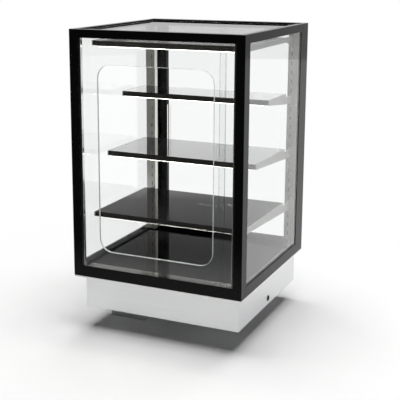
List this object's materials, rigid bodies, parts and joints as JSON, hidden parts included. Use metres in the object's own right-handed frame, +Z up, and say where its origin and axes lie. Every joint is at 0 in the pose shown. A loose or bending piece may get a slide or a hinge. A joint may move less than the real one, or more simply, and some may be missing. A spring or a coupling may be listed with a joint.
{
  "type": "drop-in heated display case",
  "caption": "Square glass display case with an open cut-out front, heated shelves on slotted uprights and sliding rear doors, on a tub that drops into a counter cut-out.",
  "frame": {"origin": "centre of the case's plan, on the counter's surface, which is the underside of the rim", "axes": "+X to the customer's right across the case, +Y from the customer's side to the server's side, +Z up"},
  "size_m": [0.6, 0.61, 1.012],
  "materials": {
    "frame_black": "satin",
    "bead_light": "satin",
    "clear_glass": "polished",
    "tub_steel": "satin",
    "rim_steel": "bright",
    "grommet_black": "matte",
    "black_glass": "polished",
    "tray_black": "satin",
    "bracket_grey": "satin",
    "lamp_white": "diffuse",
    "polished_steel": "polished",
    "door_nylon": "matte",
    "pull_clear": "polished",
    "screw_steel": "satin",
    "control_steel": "satin",
    "control_black": "satin",
    "rocker_black": "gloss",
    "thermostat_cream": "matte",
    "terminal_white": "matte",
    "fan_black": "matte",
    "element_steel": "heat-darkened",
    "stand_steel": "satin",
    "driver_aluminium": "satin"
  },
  "bodies": {
    "case": {"bottom_rail_left": "frame_black", "bottom_rail_right": "frame_black", "cable_grommet": "grommet_black", "canopy_brackets": "bracket_grey", "canopy_heater_glass": "black_glass", "canopy_housing": "tray_black", "canopy_lamp": "lamp_white", "canopy_screws": "screw_steel", "control_box": "control_steel", "counter_rim": "rim_steel", "deck_plate": "black_glass", "deck_strip": "polished_steel", "element_stands": "stand_steel", "fan_housing": "fan_black", "front_bottom_rail": "frame_black", "front_glass": "clear_glass", "front_post_left": "frame_black", "front_post_right": "frame_black", "front_top_rail": "frame_black", "glazing_beads": "bead_light", "heating_element": "element_steel", "light_driver": "driver_aluminium", "lower_shelf_brackets": "bracket_grey", "lower_shelf_glass": "black_glass", "lower_shelf_lamp": "lamp_white", "lower_shelf_tray": "tray_black", "middle_shelf_brackets": "bracket_grey", "middle_shelf_glass": "black_glass", "middle_shelf_lamp": "lamp_white", "middle_shelf_tray": "tray_black", "rear_header": "frame_black", "rear_post_left": "frame_black", "rear_post_right": "frame_black", "rear_sill": "frame_black", "side_glass_left": "clear_glass", "side_glass_right": "clear_glass", "slotted_upright_left": "polished_steel", "slotted_upright_right": "polished_steel", "switch_housings": "control_black", "terminal_block": "terminal_white", "thermostat": "thermostat_cream", "top_glass": "clear_glass", "top_rail_left": "frame_black", "top_rail_right": "frame_black", "tub_sides": "tub_steel", "tub_wrap": "tub_steel", "upper_shelf_brackets": "bracket_grey", "upper_shelf_glass": "black_glass", "upper_shelf_lamp": "lamp_white", "upper_shelf_tray": "tray_black"},
    "left_door": {"left_door_glass": "clear_glass", "left_door_shoes": "door_nylon", "left_door_pull": "pull_clear"},
    "right_door": {"right_door_glass": "clear_glass", "right_door_shoes": "door_nylon", "right_door_pull": "pull_clear"},
    "fan_rotor": {"fan_rotor": "fan_black"},
    "thermostat_knob": {"thermostat_knob": "control_black"},
    "power_rocker": {"power_rocker": "rocker_black"},
    "light_rocker": {"light_rocker": "rocker_black"}
  },
  "joints": [
    {"name": "left_door_slide", "type": "slide", "parent": "case", "child": "left_door", "axis": [1, 0, 0], "range_m": [0, 0.271]},
    {"name": "right_door_slide", "type": "slide", "parent": "case", "child": "right_door", "axis": [-1, 0, 0], "range_m": [0, 0.271]},
    {"name": "fan_spin", "type": "hinge", "parent": "case", "child": "fan_rotor", "pos_m": [0.04, 0.15, -0.0685], "axis": [0, 1, 0], "continuous": true},
    {"name": "thermostat_turn", "type": "hinge", "parent": "case", "child": "thermostat_knob", "pos_m": [-0.151, 0.29, -0.1515], "axis": [0, -1, 0], "range_deg": [0, 270]},
    {"name": "power_switch", "type": "hinge", "parent": "case", "child": "power_rocker", "pos_m": [-0.229, 0.2905, -0.1515], "axis": [1, 0, 0], "range_deg": [0, 16]},
    {"name": "light_switch", "type": "hinge", "parent": "case", "child": "light_rocker", "pos_m": [-0.201, 0.2905, -0.1515], "axis": [1, 0, 0], "range_deg": [0, 16]}
  ]
}
